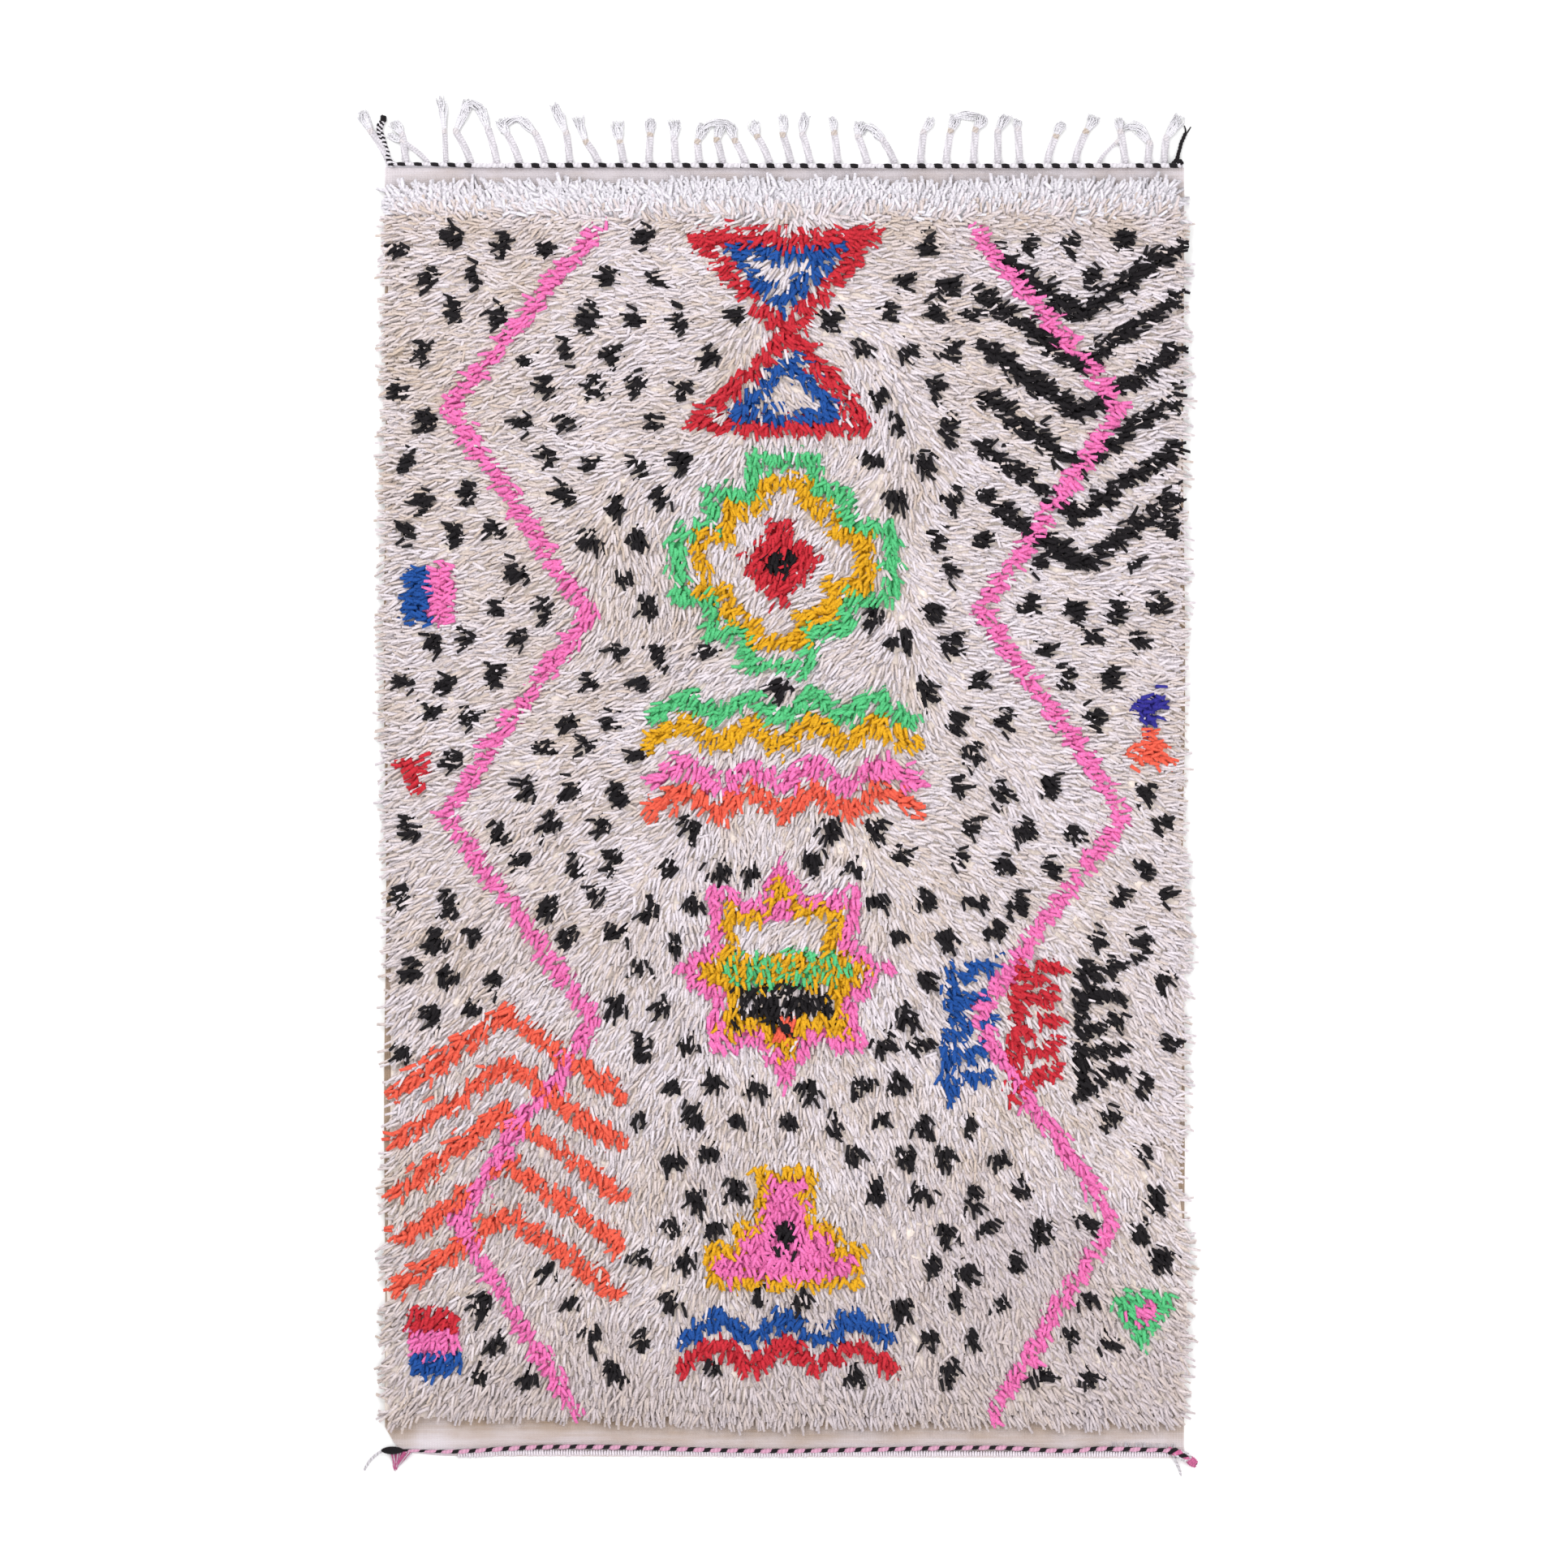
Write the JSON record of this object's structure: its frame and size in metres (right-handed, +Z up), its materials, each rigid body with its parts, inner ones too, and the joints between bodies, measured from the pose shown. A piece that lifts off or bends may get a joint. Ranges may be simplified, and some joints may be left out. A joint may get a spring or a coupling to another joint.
{
  "type": "berber rug",
  "caption": "Rectangular shag wool rug with a knotted, patterned pile, flat-woven end bands, twined edge cords and a plaited fringe.",
  "frame": {"origin": "on the floor under the middle of the rug's whole reach, fringe included", "axes": "+Z up, +Y along the rug's length towards its fringe, +X to the right across its width"},
  "size_m": [1.5467, 2.5451, 0.0323],
  "materials": {
    "ground_weave": "matte",
    "pile": "matte",
    "top_fringe": "matte",
    "top_twining": "matte",
    "bottom_twining": "matte",
    "pile_black": "matte",
    "pile_pink": "matte",
    "pile_red": "matte",
    "pile_blue": "matte",
    "pile_green": "matte",
    "pile_mustard": "matte",
    "pile_coral": "matte",
    "pile_violet": "matte"
  },
  "bodies": {
    "root": {"ground_weave": "ground_weave", "pile": "pile", "top_fringe": "top_fringe", "top_twining": "top_twining", "bottom_twining": "bottom_twining"}
  },
  "joints": []
}
